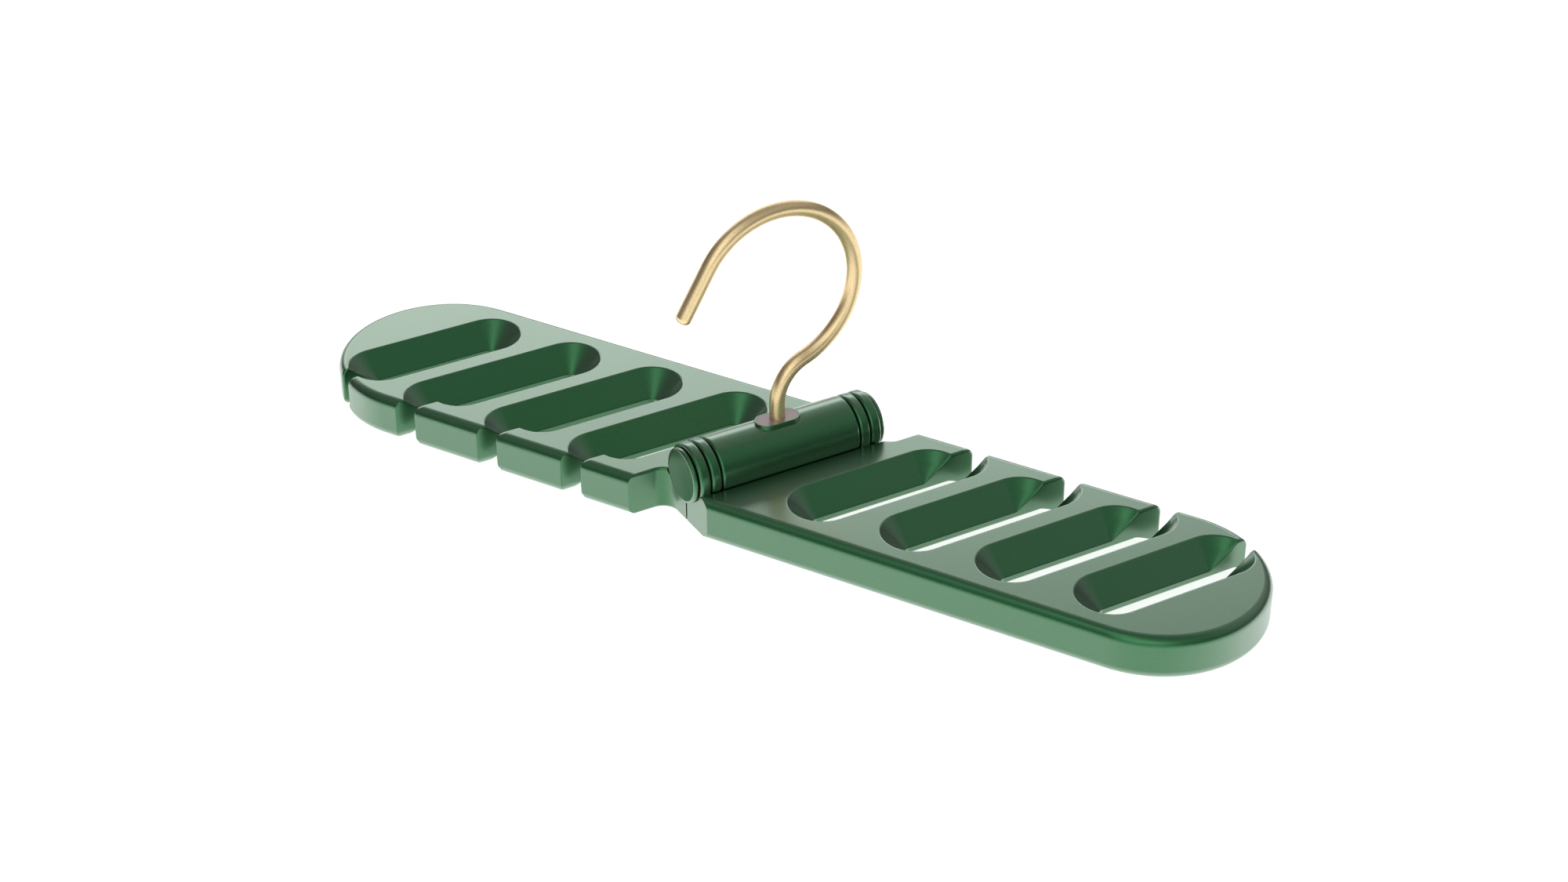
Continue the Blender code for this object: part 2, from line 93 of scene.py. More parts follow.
class LeafSettings(PropertyGroup):
    """Sizes of the two slotted leaves."""

    reach: length("Reach", "From the hinge axis to the round tip, along the leaf", 0.1468)
    width: length("Width", "Across the leaf, square to its long edges", 0.0626)
    thickness: length("Thickness", "From the underside to the top face", 0.0130)
    slant: FloatProperty(name="Slant", description="Angle between the leaf and the line square to the hinge",
                         default=math.radians(30), subtype="ANGLE", unit="ROTATION")
    top_round: length("Top Round", "Radius of the top edge", 0.00275)
    underside_round: length("Underside Round", "Radius of the lower edge", 0.0030)
    inner_gap: length("Inner Gap", "Gap between the two leaves under the barrel", 0.0007)
    shoulder: length("Shoulder", "From the hinge axis to the shoulder beside the cap", 0.0104)
    shoulder_fillet: length("Shoulder Fillet", "Radius in the corner of the shoulder", 0.0045)
    slot_count: IntProperty(name="Slots", description="Slots in each leaf", default=4, min=1, max=8)
    slot_pitch: length("Slot Pitch", "From slot to slot, square to the slots", 0.0250)
    first_slot: length("First Slot", "From the hinge axis to the first slot", 0.02745)
    slot_centres: length("Slot Length", "Between the centres of a slot's round ends", 0.03475)
    slot_top: length("Slot Top Width", "Width of a slot at the top face", 0.0193)
    slot_waist: length("Slot Waist", "Width of the straight waist of a slot, and of its entry gap", 0.0050)
    slot_underside: length("Slot Underside Width", "Width of a slot at the underside", 0.0180)
    waist_top: length("Waist Top", "From the top face down to the waist", 0.00675)
    waist_bottom: length("Waist Bottom", "From the top face down to the end of the waist", 0.00845)
    open_end: length("Open End", "How much farther out the open end is rounded on the tip side", 0.00835)
    tip_open_end: length("Tip Slot's Open End", "The same on the slot next to the leaf's round end", 0.0008)
    edge_round: length("Edge Round", "Radius where a slot or gap meets a flat face", 0.0008)
    gap_round: length("Gap Round", "Radius where an entry gap meets the underside", 0.0030)
    waist_round: length("Waist Round", "Radius of the edges of the waist", 0.00045)
    corner_round: length("Corner Round", "Radius where the flared end meets the entry gap", 0.0006)


class HingeSettings(PropertyGroup):
    """Sizes of the barrel, knuckles, caps and inlay."""

    groove: length("Groove", "Gap between neighbouring knuckles", 0.00035)
    inner_knuckle: length("Inner Knuckle", "Length of the knuckle beside the barrel", 0.0031)
    outer_knuckle: length("Outer Knuckle", "Length of the knuckle at the end", 0.0032)
    knuckle_round: length("Knuckle Round", "Radius of the rims of knuckles and barrel", 0.00085)
    seat_clearance: length("Seat Clearance", "Gap between the barrel and its seat in the leaves", 0.0004)
    bore_clearance: length("Bore Clearance", "Gap round the pin and the washers", 0.0003)
    washer_radius: length("Washer Radius", "Outer radius of the wear washers", 0.0050)
    washer_thickness: length("Washer Thickness", "Thickness of the wear washers", 0.0008)
    cap_face: length("Cap Face Radius", "Radius of the dished face of a cap", 0.0073)
    cap_thickness: length("Cap Thickness", "From the back of a cap to its rim", 0.00125)
    cap_gap: length("Cap Gap", "Gap between a cap and the end of the hinge", 0.0003)
    cap_dish: length("Cap Dish", "Depth of the dish in a cap", 0.00105)
    spigot_radius: length("Spigot Radius", "Radius of the spigot behind a cap", 0.0012)
    spigot_length: length("Spigot Length", "Length of the spigot behind a cap", 0.0050)
    boss_rise: length("Boss Rise", "From the top of the barrel to the top of the boss", 0.0007)
    boss_rim: length("Boss Rim", "Width of the green rim round the plate", 0.00045)
    boss_flare: length("Boss Flare", "How much wider the boss is at its foot, on each side", 0.00010)
    plate_clearance: length("Plate Clearance", "Gap between the plate and the rim", 0.00005)


class HookSettings(PropertyGroup):
    """Sizes of the bent wire hook."""

    wire_radius: length("Wire Radius", "Half the thickness of the wire", 0.0022)
    crook_radius: length("Crook Radius", "Radius of the crook, on the wire's centre line", 0.02465)
    crook_height: length("Crook Height", "From the leaves' top face to the middle of the crook", 0.0524)
    neck_radius: length("Neck Radius", "Radius of the bend above the shank", 0.0131)
    tail_angle: FloatProperty(name="Tail Angle", description="Where the crook ends and the straight tail begins",
                              default=math.radians(149.2), subtype="ANGLE", unit="ROTATION")
    tail_length: length("Tail Length", "Length of the straight tail with its rounded tip", 0.0165)
    tip_round: length("Tip Round", "Radius of the edge of the tip", 0.0016)
    head_radius: length("Head Radius", "Radius of the head that turns in the barrel", 0.0030)
    head_thickness: length("Head Thickness", "Thickness of that head", 0.0020)


class FinishSettings(PropertyGroup):
    """Colours of the finishes."""

    coat_colour: colour("Coat", "Main colour of the satin coat", (0.050, 0.182, 0.078))
    coat_light: colour("Coat Light", "Lighter flecks in the satin coat", (0.060, 0.212, 0.092))
    gold_colour: colour("Gold", "Main colour of the plated wire", (0.99, 0.80, 0.48))
    gold_deep: colour("Gold Deep", "Deeper grains in the plated wire", (0.80, 0.56, 0.26))
    plate_colour: colour("Plate", "Colour of the inlay plate", (0.39, 0.325, 0.335))
    steel_colour: colour("Steel", "Colour of the pin", (0.56, 0.56, 0.57))
    washer_colour: colour("Washer", "Colour of the washers", (0.02, 0.02, 0.022))


class StageSettings(PropertyGroup):
    """Camera, lamps and floor."""

    focal: FloatProperty(name="Focal Length", description="Focal length on a sensor 36 mm wide, in millimetres",
                         default=64.05, min=1)
    azimuth: FloatProperty(name="Azimuth", description="Turn of the camera about the object",
                           default=math.radians(60.0), subtype="ANGLE", unit="ROTATION")
    elevation: FloatProperty(name="Elevation", description="Height of the camera above the horizon",
                             default=math.radians(32.01), subtype="ANGLE", unit="ROTATION")
    distance: length("Distance", "From the camera to the middle of the hinge", 0.7876)
    aim_right: length("Aim Right", "How far right of the hinge's middle the camera aims", 0.00192)
    aim_up: length("Aim Up", "How far above the hinge's middle the camera aims", 0.00373)
    floor_size: length("Floor Size", "Width of the floor", 8.0)
    floor_colour: colour("Floor", "Colour of the floor", (0.86, 0.86, 0.86))
    floor_glow: FloatProperty(name="Floor Glow", description="How much whiter the floor is as a background",
                              default=0.80, min=0)
    world_light: FloatProperty(name="World Light", description="Strength of the even light from all round",
                               default=0.45, min=0)
    key_light: FloatProperty(name="Key Light", description="Strength of the lamp beside the camera, in watts",
                             default=4.4, min=0)
    back_light: FloatProperty(name="Back Light", description="Strength of the lamp behind, in watts",
                              default=5.8, min=0)
    top_light: FloatProperty(name="Top Light", description="Strength of the small lamp above, in watts",
                             default=1.2, min=0)
    dim_heading: FloatProperty(name="Dim Heading", description="Heading on which the even light is dimmest",
                               default=math.radians(215.0), subtype="ANGLE", unit="ROTATION")


class BeltHangerSettings(PropertyGroup):
    """Everything that a user can set."""

    leaf: PointerProperty(type=LeafSettings)
    hinge: PointerProperty(type=HingeSettings)
    hook: PointerProperty(type=HookSettings)
    finish: PointerProperty(type=FinishSettings)
    stage: PointerProperty(type=StageSettings)


# Steps that round forms are divided into
OUTLINE_STEPS = 120
SLOT_END_STEPS = 36
FILLET_STEPS = 5
EDGE_STEPS = 8
HINGE_SIDES = 144
PIN_SIDES = 48
WIRE_SIDES = 40
HOOK_STEPS = 120
NECK_STEPS = 28

# Small lengths: tools reach past what they cut, thin overlaps hold pieces together, close points become one
OVERRUN = 0.0020
HAIR = 0.0003
SLIVER = 0.00003
LOFT_MERGE = HAIR / 300
SPIN_MERGE = HAIR / 100


# Modelling helpers

def arc(centre, radius, start, end, steps):
    """Points on an arc from one angle to another, both included."""
    angles = [start + (end - start) * i / steps for i in range(steps + 1)]
    return [(centre[0] + radius * math.cos(a), centre[1] + radius * math.sin(a)) for a in angles]


def object_from(bm, name):
    """An object in the scene from an edit mesh, its faces turned outwards."""
    bmesh.ops.recalc_face_normals(bm, faces=bm.faces[:])
    mesh = bpy.data.meshes.new(name)
    bm.to_mesh(mesh)
    bm.free()
    item = bpy.data.objects.new(name, mesh)
    bpy.context.scene.collection.objects.link(item)
    return item


def loft(rings, name):
    """Closed solid whose sections are rings of points, all of one length."""
    bm = bmesh.new()
    loops = [[bm.verts.new(point) for point in ring] for ring in rings]
    count = len(loops[0])
    for lower, upper in zip(loops, loops[1:]):
        for i in range(count):
            j = (i + 1) % count
            bm.faces.new((lower[i], lower[j], upper[j], upper[i]))
    bm.faces.new(list(reversed(loops[0])))
    bm.faces.new(loops[-1])
    bmesh.ops.remove_doubles(bm, verts=bm.verts[:], dist=LOFT_MERGE)
    return object_from(bm, name)


def turned(profile, sides, name, axis=(0, 1, 0)):
    """Solid of revolution from (place along the axis, radius) pairs."""
    bm = bmesh.new()
    along = Vector(axis)
    out = Vector((1, 0, 0))
    points = [bm.verts.new(along * place + out * radius) for place, radius in profile]
    edges = [bm.edges.new(pair) for pair in zip(points, points[1:])]
    if profile[0][1] > 0:
        edges.append(bm.edges.new((points[-1], points[0])))
    bmesh.ops.spin(bm, geom=points + edges, cent=(0, 0, 0), axis=along, angle=math.tau,
                   steps=sides, use_merge=True)
    bmesh.ops.remove_doubles(bm, verts=bm.verts[:], dist=SPIN_MERGE)
    return object_from(bm, name)


def shaped_mesh(item):
    """The mesh that an object's modifiers make of it."""
    bpy.context.view_layer.update()
    shaped = item.evaluated_get(bpy.context.evaluated_depsgraph_get())
    return bpy.data.meshes.new_from_object(shaped)


def settle(item):
    """Replaces an object's mesh by what its modifiers make of it."""
    mesh = shaped_mesh(item)
    mesh.name = item.name
    item.modifiers.clear()
    item.data = mesh
    return item


def shape_with(item, operation, tool):
    """Joins or cuts an object with a tool object, and takes the tool away."""
    step = item.modifiers.new(operation.title(), "BOOLEAN")
    step.operation = operation
    step.solver = "EXACT"
    step.object = tool
    settle(item)
    bpy.data.objects.remove(tool, do_unlink=True)


def join_tools(tools, name):
    """One tool from separate ones that don't meet."""
    bm = bmesh.new()
    for tool in tools:
        bm.from_mesh(tool.data)
        bpy.data.objects.remove(tool, do_unlink=True)
    return object_from(bm, name)


def smooth(item, angle=SHARP_ANGLE):
    """Smooth rounds with flat faces kept flat."""
    item.data.shade_smooth()
    item.data.set_sharp_from_angle(angle=angle)
    even = item.modifiers.new("Even Normals", "WEIGHTED_NORMAL")
    even.keep_sharp = True
    settle(item)


def place(item, turn=0.0, height=AXIS_HEIGHT):
    """Moves a mesh made round the hinge's middle to its place, leaving the object at the origin."""
    item.data.transform(Matrix.Translation((0, 0, height)) @ Matrix.Rotation(turn, 4, "Z"))
    return item


def dress(item, material, body, slot, *nodes):
    """Gives a finished piece its finish, its body and the CAD nodes it stands for."""
    item.data.materials.clear()
    item.data.materials.append(material)
    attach(item, body)
    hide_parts(*nodes)
    return item


def at_height(outline, height):
    """A flat outline as a ring of points at a height."""
    return [(x, y, height) for x, y in outline]


def obround(width, length_over, steps=SLOT_END_STEPS):
    """Outline of a straight slot along Y with half-round ends."""
    radius = width / 2
    reach = length_over / 2 - radius
    return arc((0, reach), radius, 0, math.pi, steps) + arc((0, -reach), radius, math.pi, math.tau, steps)


def rounded_disc(start, end, radius, corner, steps=FILLET_STEPS):
    """Profile of a solid disc with rounded rims."""
    first = arc((start + corner, radius - corner), corner, math.pi, QUARTER, steps)
    last = arc((end - corner, radius - corner), corner, QUARTER, 0, steps)
    return [(start, 0)] + first + last + [(end, 0)]


def edge_back(radius, slope, depth):
    """How far a wall with a rounded edge stands back from where wall and face would meet, at a depth."""
    tangent = radius * math.tan((QUARTER - slope) / 2)
    if depth >= tangent * math.cos(slope):
        return -depth * math.tan(slope)
    return tangent - math.sqrt(max(0, radius ** 2 - (radius - depth) ** 2))


def edge_levels(*walls):
    """Rounded edges of walls that meet one flat face, each wall a (half width, radius, slope) triple.

    Gives their half widths and the depth below the face, from just beyond the face in.
    """
    depths = {radius * (1 - math.cos(QUARTER * step / EDGE_STEPS))
              for _, radius, _ in walls for step in range(EDGE_STEPS + 1)}
    levels = [(*(half + edge_back(radius, slope, depth) for half, radius, slope in walls), depth)
              for depth in sorted(depths)]
    first, second = levels[:2]
    share = SLIVER / second[-1]
    levels[0] = tuple(a + (a - b) * share for a, b in zip(first, second))
    return levels


# Node trees

def new_input(tree, name, kind, default=None):
    """Adds a named input to a node tree and gives its identifier."""
    socket = tree.interface.new_socket(name=name, in_out="INPUT", socket_type=kind)
    if default is not None:
        socket.default_value = default
    return socket.identifier


def node_tree(name, **inputs):
    """A modifier's node tree that ends by making its result real and giving it a finish.

    Each named input is a (kind, default) pair. Gives the tree, its input node, the socket that takes the
    result, and the identifiers of the inputs.
    """
    tree = bpy.data.node_groups.new(name, "GeometryNodeTree")
    new_input(tree, "Geometry", "NodeSocketGeometry")
    ids = {key: new_input(tree, key, kind, default) for key, (kind, default) in inputs.items()}
    ids["Finish"] = new_input(tree, "Finish", "NodeSocketMaterial")
    tree.interface.new_socket(name="Geometry", in_out="OUTPUT", socket_type="NodeSocketGeometry")
    source = tree.nodes.new("NodeGroupInput")
    target = tree.nodes.new("NodeGroupOutput")
    real = tree.nodes.new("GeometryNodeRealizeInstances")
    painted = tree.nodes.new("GeometryNodeSetMaterial")
    tree.links.new(real.outputs["Geometry"], painted.inputs["Geometry"])
    tree.links.new(source.outputs["Finish"], painted.inputs["Material"])
    tree.links.new(painted.outputs["Geometry"], target.inputs["Geometry"])
    return tree, source, real.inputs["Geometry"], ids


def slot_row_tree():
    """Repeats one slot tool along a slanted row."""
    tree, source, result, ids = node_tree("slot_row", Count=("NodeSocketInt", 4),
                                          Step=("NodeSocketVector", (0.02, 0.01, 0)))
    line = tree.nodes.new("GeometryNodeMeshLine")
    line.mode = "OFFSET"
    copies = tree.nodes.new("GeometryNodeInstanceOnPoints")
    link = tree.links.new
    link(source.outputs["Count"], line.inputs["Count"])
    link(source.outputs["Step"], line.inputs["Offset"])
    link(line.outputs["Mesh"], copies.inputs["Points"])
    link(source.outputs["Geometry"], copies.inputs["Instance"])
    link(copies.outputs["Instances"], result)
    return tree, ids


def wire_tree():
    """Draws a round wire along a curve, as thick as the curve's own radius says."""
    tree, source, result, ids = node_tree("bent_wire", Sides=("NodeSocketInt", 24))
    section = tree.nodes.new("GeometryNodeCurvePrimitiveCircle")
    section.inputs["Radius"].default_value = 1.0
    thickness = tree.nodes.new("GeometryNodeInputRadius")
    sweep = tree.nodes.new("GeometryNodeCurveToMesh")
    sweep.inputs["Fill Caps"].default_value = True
    link = tree.links.new
    link(source.outputs["Sides"], section.inputs["Resolution"])
    link(source.outputs["Geometry"], sweep.inputs["Curve"])
    link(section.outputs["Curve"], sweep.inputs["Profile Curve"])
    link(thickness.outputs["Radius"], sweep.inputs["Scale"])
    link(sweep.outputs["Mesh"], result)
    return tree, ids


# Leaves

def leaf_section(leaf, inset, height):
    """Straight-sided outline with one round end, drawn in by an inset and turned to the slant."""
    radius = leaf.width / 2 - inset
    centre = leaf.reach - leaf.width / 2
    outline = [(-leaf.width / 2, -radius)]
    outline += arc((centre, 0), radius, -QUARTER, QUARTER, OUTLINE_STEPS)
    outline.append((-leaf.width / 2, radius))
    turn = Matrix.Rotation(leaf.slant, 4, "Z")
    return [turn @ Vector((x, y, height)) for x, y in outline]


def leaf_blank(leaf):
    """Slab with a full round end and rounded edges, before anything is cut."""
    underside = -AXIS_HEIGHT
    top = underside + leaf.thickness
    low, high = leaf.underside_round, leaf.top_round
    lower = arc((low, underside + low), low, -QUARTER, -math.pi, 2 * FILLET_STEPS)
    upper = arc((high, top - high), high, math.pi, QUARTER, 2 * FILLET_STEPS)
    return loft([leaf_section(leaf, inset, height) for inset, height in lower + upper], "leaf_blank")


def hinge_end_section(leaf, spread, height):
    """Outline of what is cut from the inner end, widened by a spread."""
    reach = 2 * leaf.width
    inner = leaf.inner_gap / 2 + spread
    side = leaf.shoulder + spread
    back = HINGE_END - spread
    fillet = leaf.shoulder_fillet + spread
    corner = arc((side - fillet, back + fillet), fillet, -QUARTER, 0, 3 * FILLET_STEPS)
    outline = [(-reach, -reach), (leaf.width / 2, -reach), (leaf.width / 2, spread - HINGE_END),
               (inner, spread - HINGE_END), (inner, back)] + corner + [(side, reach), (-reach, reach)]
    return at_height(outline, height)


def hinge_end_tool(leaf):
    """Cuts the square inner end and the shoulder, with softened edges."""
    low = -AXIS_HEIGHT
    high = low + leaf.thickness
    soft = edge_levels((0.0, leaf.edge_round, 0.0))
    below = [(spread, low + depth) for spread, depth in soft]
    above = [(spread, high - depth) for spread, depth in reversed(soft)]
    return loft([hinge_end_section(leaf, spread, height) for spread, height in below + above], "hinge_end_tool")


def flare_levels(leaf, width, waist_depth, gap_round, leaf_round):
    """Half widths of slot and gap and the leaf's inset against depth, from just beyond a face in to the waist."""
    waist = leaf.slot_waist / 2
    slope = math.atan2(width / 2 - waist, waist_depth)
    levels = edge_levels((width / 2, leaf.edge_round, slope), (waist, gap_round, 0.0), (0.0, leaf_round, 0.0))
    soft = leaf.waist_round
    end = waist_depth + soft * math.tan(slope / 2)
    for step in range(FILLET_STEPS + 1):
        turn = slope * (1 - step / FILLET_STEPS)
        levels.append((waist + soft * (1 - math.cos(turn)), waist, 0.0, end - soft * math.sin(turn)))
    return levels


def outline_beside(leaf, slot_x, inset, x):
    """Outward direction of the leaf's outline beside a slot, and its distance from the slot's centre."""
    along = Vector((math.cos(leaf.slant), math.sin(leaf.slant)))
    across = Vector((-along.y, along.x))
    radius = leaf.width / 2 - inset
    ahead = leaf.reach - leaf.width / 2 - slot_x / along.x
    on_edge = Vector((x, (radius + x * along.y) / along.x))
    if on_edge.dot(along) <= ahead:
        return across, radius
    middle = ahead * along
    on_end = Vector((x, middle.y + math.sqrt(radius ** 2 - (x - middle.x) ** 2)))
    outward = (on_end - middle).normalized()
    return outward, outward.dot(on_end)


def mouth_arc(leaf, slot_x, inset, side, gap_half, lowest):
    """Rounded corner between a wall of the entry gap and the leaf's outline, on one side of the gap."""
    soft = leaf.edge_round
    x = side * (gap_half + soft)
    outward, distance = outline_beside(leaf, slot_x, inset, x)
    y = max(lowest, (distance + SLIVER - soft - outward.x * x) / outward.y)
    heading = math.atan2(outward.y, outward.x)
    if side > 0:
        return arc((x, y), soft, math.pi, heading, FILLET_STEPS)
    return arc((x, y), soft, heading, 0, 2 * FILLET_STEPS)


def slot_outline(leaf, slot_x, slot_half, gap_half, inset, tip_side_offset, hinge_side_offset):
    """Round closed end, then an open end that runs out through a narrow gap with softened corners.

    The two arcs of the open end are centred at offsets of their own beyond the slot's straight part.
    """
    reach = leaf.slot_centres / 2
    soft = leaf.corner_round
    turn = math.acos(min(1, (gap_half + soft) / (slot_half + soft)))
    rise = (slot_half + soft) * math.sin(turn)
    far = reach + tip_side_offset
    near = reach + hinge_side_offset
    corner = gap_half + soft
    outline = arc((0, -reach), slot_half, math.pi, math.tau, SLOT_END_STEPS)
    outline += arc((0, far), slot_half, 0, turn, SLOT_END_STEPS // 2)
    outline += arc((corner, far + rise), soft, math.pi + turn, math.pi, FILLET_STEPS)
    mouth = mouth_arc(leaf, slot_x, inset, 1, gap_half, far + rise)
    mouth += [(mouth[-1][0], leaf.width)]
    other = mouth_arc(leaf, slot_x, inset, -1, gap_half, near + rise)
    outline += mouth + [(other[0][0], leaf.width)] + other
    outline += arc((-corner, near + rise), soft, 0, -turn, FILLET_STEPS)
    outline += arc((0, near), slot_half, math.pi - turn, math.pi, SLOT_END_STEPS // 2)
    return outline


def slot_tool(leaf, index, tip_side_offset):
    """A slot and its entry gap, flared at both faces with a straight waist between."""
    underside = -AXIS_HEIGHT
    top = underside + leaf.thickness
    x = leaf.first_slot + index * leaf.slot_pitch
    y = x * math.tan(leaf.slant)
    lower = flare_levels(leaf, leaf.slot_underside, leaf.thickness - leaf.waist_bottom, leaf.gap_round,
                         leaf.underside_round)
    upper = flare_levels(leaf, leaf.slot_top, leaf.waist_top, leaf.edge_round, leaf.top_round)
    levels = [(slot, gap, inset, underside + depth, leaf.open_end) for slot, gap, inset, depth in lower]
    levels += [(slot, gap, inset, top - depth, 0) for slot, gap, inset, depth in reversed(upper)]
    rings = []
    for slot_half, gap_half, inset, height, offset in levels:
        outline = slot_outline(leaf, x, slot_half, gap_half, inset, tip_side_offset, offset)
        rings.append([(x + a, y + b, height) for a, b in outline])
    return loft(rings, "slot_tool")


def repeat_along_leaf(leaf, tool, material):
    """A row of copies of the first slot's tool, up to the last slot, which has a shape of its own."""
    tree, ids = slot_row_tree()
    row = tool.modifiers.new("Slot Row", "NODES")
    row.node_group = tree
    row[ids["Count"]] = leaf.slot_count - 1
    row[ids["Step"]] = (leaf.slot_pitch, leaf.slot_pitch * math.tan(leaf.slant), 0.0)
    row[ids["Finish"]] = material
    return settle(tool)


def knuckle_places(hinge):
    """Start and end of the inner and the outer knuckle, from the hinge's middle."""
    inner_start = BARREL_END + hinge.groove
    inner_end = inner_start + hinge.inner_knuckle
    outer_start = inner_end + hinge.groove
    return (inner_start, inner_end), (outer_start, outer_start + hinge.outer_knuckle)


def seat_tool(hinge):
    """Round seat that clears the barrel and the other leaf's knuckles."""
    (_, inner_end), (outer_start, _) = knuckle_places(hinge)
    gap = hinge.bore_clearance
    radius = BARREL_RADIUS + hinge.seat_clearance
    spans = [(-inner_end - gap, BARREL_END + gap), (outer_start - gap, HINGE_END + OVERRUN)]
    tools = [turned([(a, 0), (a, radius), (b, radius), (b, 0)], HINGE_SIDES, "seat") for a, b in spans]
    return join_tools(tools, "seat_tool")


def knuckle_pair(hinge):
    """The leaf's own outer knuckle at one end and inner knuckle at the other."""
    inner, outer = knuckle_places(hinge)
    rings = [turned(rounded_disc(start, end, BARREL_RADIUS, hinge.knuckle_round), HINGE_SIDES, "knuckle")
             for start, end in ((-outer[1], -outer[0]), inner)]
    return join_tools(rings, "knuckle_pair")


def bore_tool(hinge):
    """Pin bore through the whole hinge, with a pocket round each wear washer."""
    bore = PIN_RADIUS + hinge.bore_clearance
    pocket = hinge.washer_radius + hinge.bore_clearance
    half = hinge.washer_thickness / 2 + hinge.bore_clearance
    (inner_start, inner_end), _ = knuckle_places(hinge)
    inner = inner_start - hinge.groove / 2
    outer = inner_end + hinge.groove / 2
    end = HINGE_END + OVERRUN
    profile = [(-end, 0), (-end, bore)]
    for middle in (-outer, -inner, inner, outer):
        profile += [(middle - half, bore), (middle - half, pocket), (middle + half, pocket), (middle + half, bore)]
    profile += [(end, bore), (end, 0)]
    return turned(profile, PIN_SIDES, "bore_tool")


def make_leaf(leaf, hinge, material):
    """The right leaf, round the hinge's middle."""
    item = leaf_blank(leaf)
    shape_with(item, "DIFFERENCE", hinge_end_tool(leaf))
    row = repeat_along_leaf(leaf, slot_tool(leaf, 0, leaf.open_end), material)
    tip_slot = slot_tool(leaf, leaf.slot_count - 1, leaf.tip_open_end)
    shape_with(item, "DIFFERENCE", join_tools([row, tip_slot], "slot_tools"))
    shape_with(item, "DIFFERENCE", seat_tool(hinge))
    shape_with(item, "UNION", knuckle_pair(hinge))
    shape_with(item, "DIFFERENCE", bore_tool(hinge))
    smooth(item)
    return item


# Barrel, caps and inlay

def boss_blank(hinge):
    """Low obround boss with a softened rim and a flared foot."""
    top = BARREL_RADIUS + hinge.boss_rise
    width = PLATE_WIDTH + 2 * hinge.boss_rim
    length_over = PLATE_LENGTH + 2 * hinge.boss_rim
    soft = hinge.boss_rim / 2
    foot = 2 * hinge.boss_flare
    levels = [(foot, BARREL_RADIUS / 2), (foot, BARREL_RADIUS - 2 * hinge.boss_rise),
              (hinge.boss_flare, BARREL_RADIUS - hinge.boss_rise / 2)]
    levels += arc((-soft, top - soft), soft, 0, QUARTER, FILLET_STEPS)
    rings = [at_height(obround(width + 2 * wider, length_over + 2 * wider), height) for wider, height in levels]
    return loft(rings, "boss")


def make_barrel(hinge, hook):
    """Barrel with its boss, the recess for the plate and the pocket for the hook's head."""
    item = turned(rounded_disc(-BARREL_END, BARREL_END, BARREL_RADIUS, hinge.knuckle_round), HINGE_SIDES,
                  "barrel_body")
    shape_with(item, "UNION", boss_blank(hinge))
    gap = 2 * hinge.plate_clearance
    seat = PLATE_LOW.z - AXIS_HEIGHT - hinge.bore_clearance
    top = BARREL_RADIUS + hinge.boss_rise + OVERRUN
    outline = obround(PLATE_WIDTH + gap, PLATE_LENGTH + gap)
    shape_with(item, "DIFFERENCE", loft([at_height(outline, height) for height in (seat, top)], "recess"))
    floor = HOOK_LOW.z - AXIS_HEIGHT - hinge.bore_clearance
    radius = hook.head_radius + hinge.bore_clearance
    pocket = [(floor, 0), (floor, radius), (seat + HAIR, radius), (seat + HAIR, 0)]
    shape_with(item, "DIFFERENCE", turned(pocket, PIN_SIDES, "pocket", axis=(0, 0, 1)))
    shape_with(item, "DIFFERENCE", bore_tool(hinge))
    smooth(item)
    return place(item)


def make_cap(hinge, name, turn):
    """Dished cap with a fine rim and a spigot behind it."""
    back = HINGE_END + hinge.cap_gap
    face = back + hinge.cap_thickness
    rim = CAP_RADIUS - hinge.cap_face
    rounding = arc((face - rim, hinge.cap_face), rim, QUARTER, 0, 2 * FILLET_STEPS)
    dish_radius = (hinge.cap_face ** 2 + hinge.cap_dish ** 2) / (2 * hinge.cap_dish)
    spread = math.asin(hinge.cap_face / dish_radius)
    middle = face - hinge.cap_dish + dish_radius
    dish = arc((middle, 0), dish_radius, math.pi - spread, math.pi, 3 * FILLET_STEPS)[1:-1]
    start = back - hinge.spigot_length
    profile = [(start, 0), (start, hinge.spigot_radius), (back, hinge.spigot_radius)]
    profile += arc((back + HAIR, CAP_RADIUS - HAIR), HAIR, math.pi, QUARTER, FILLET_STEPS)
    profile += rounding + dish + [(face - hinge.cap_dish, 0)]
    item = turned(profile, HINGE_SIDES, name)
    smooth(item)
    return place(item, turn)


def make_plate(hinge, hook):
    """Flush obround plate with a finely eased edge and the hole for the shank."""
    low = PLATE_LOW.z - AXIS_HEIGHT
    high = PLATE_HIGH.z - AXIS_HEIGHT
    ease = hinge.plate_clearance
    rings = [at_height(obround(PLATE_WIDTH - 2 * inset, PLATE_LENGTH - 2 * inset), height)
             for inset, height in ((0, low), (0, high - ease), (ease, high))]
    item = loft(rings, "inlay_plate")
    radius = hook.wire_radius + hinge.plate_clearance
    hole = [(low - OVERRUN, 0), (low - OVERRUN, radius), (high + OVERRUN, radius), (high + OVERRUN, 0)]
    shape_with(item, "DIFFERENCE", turned(hole, PIN_SIDES, "shank_hole", axis=(0, 0, 1)))
    smooth(item)
    return place(item)


# Hook

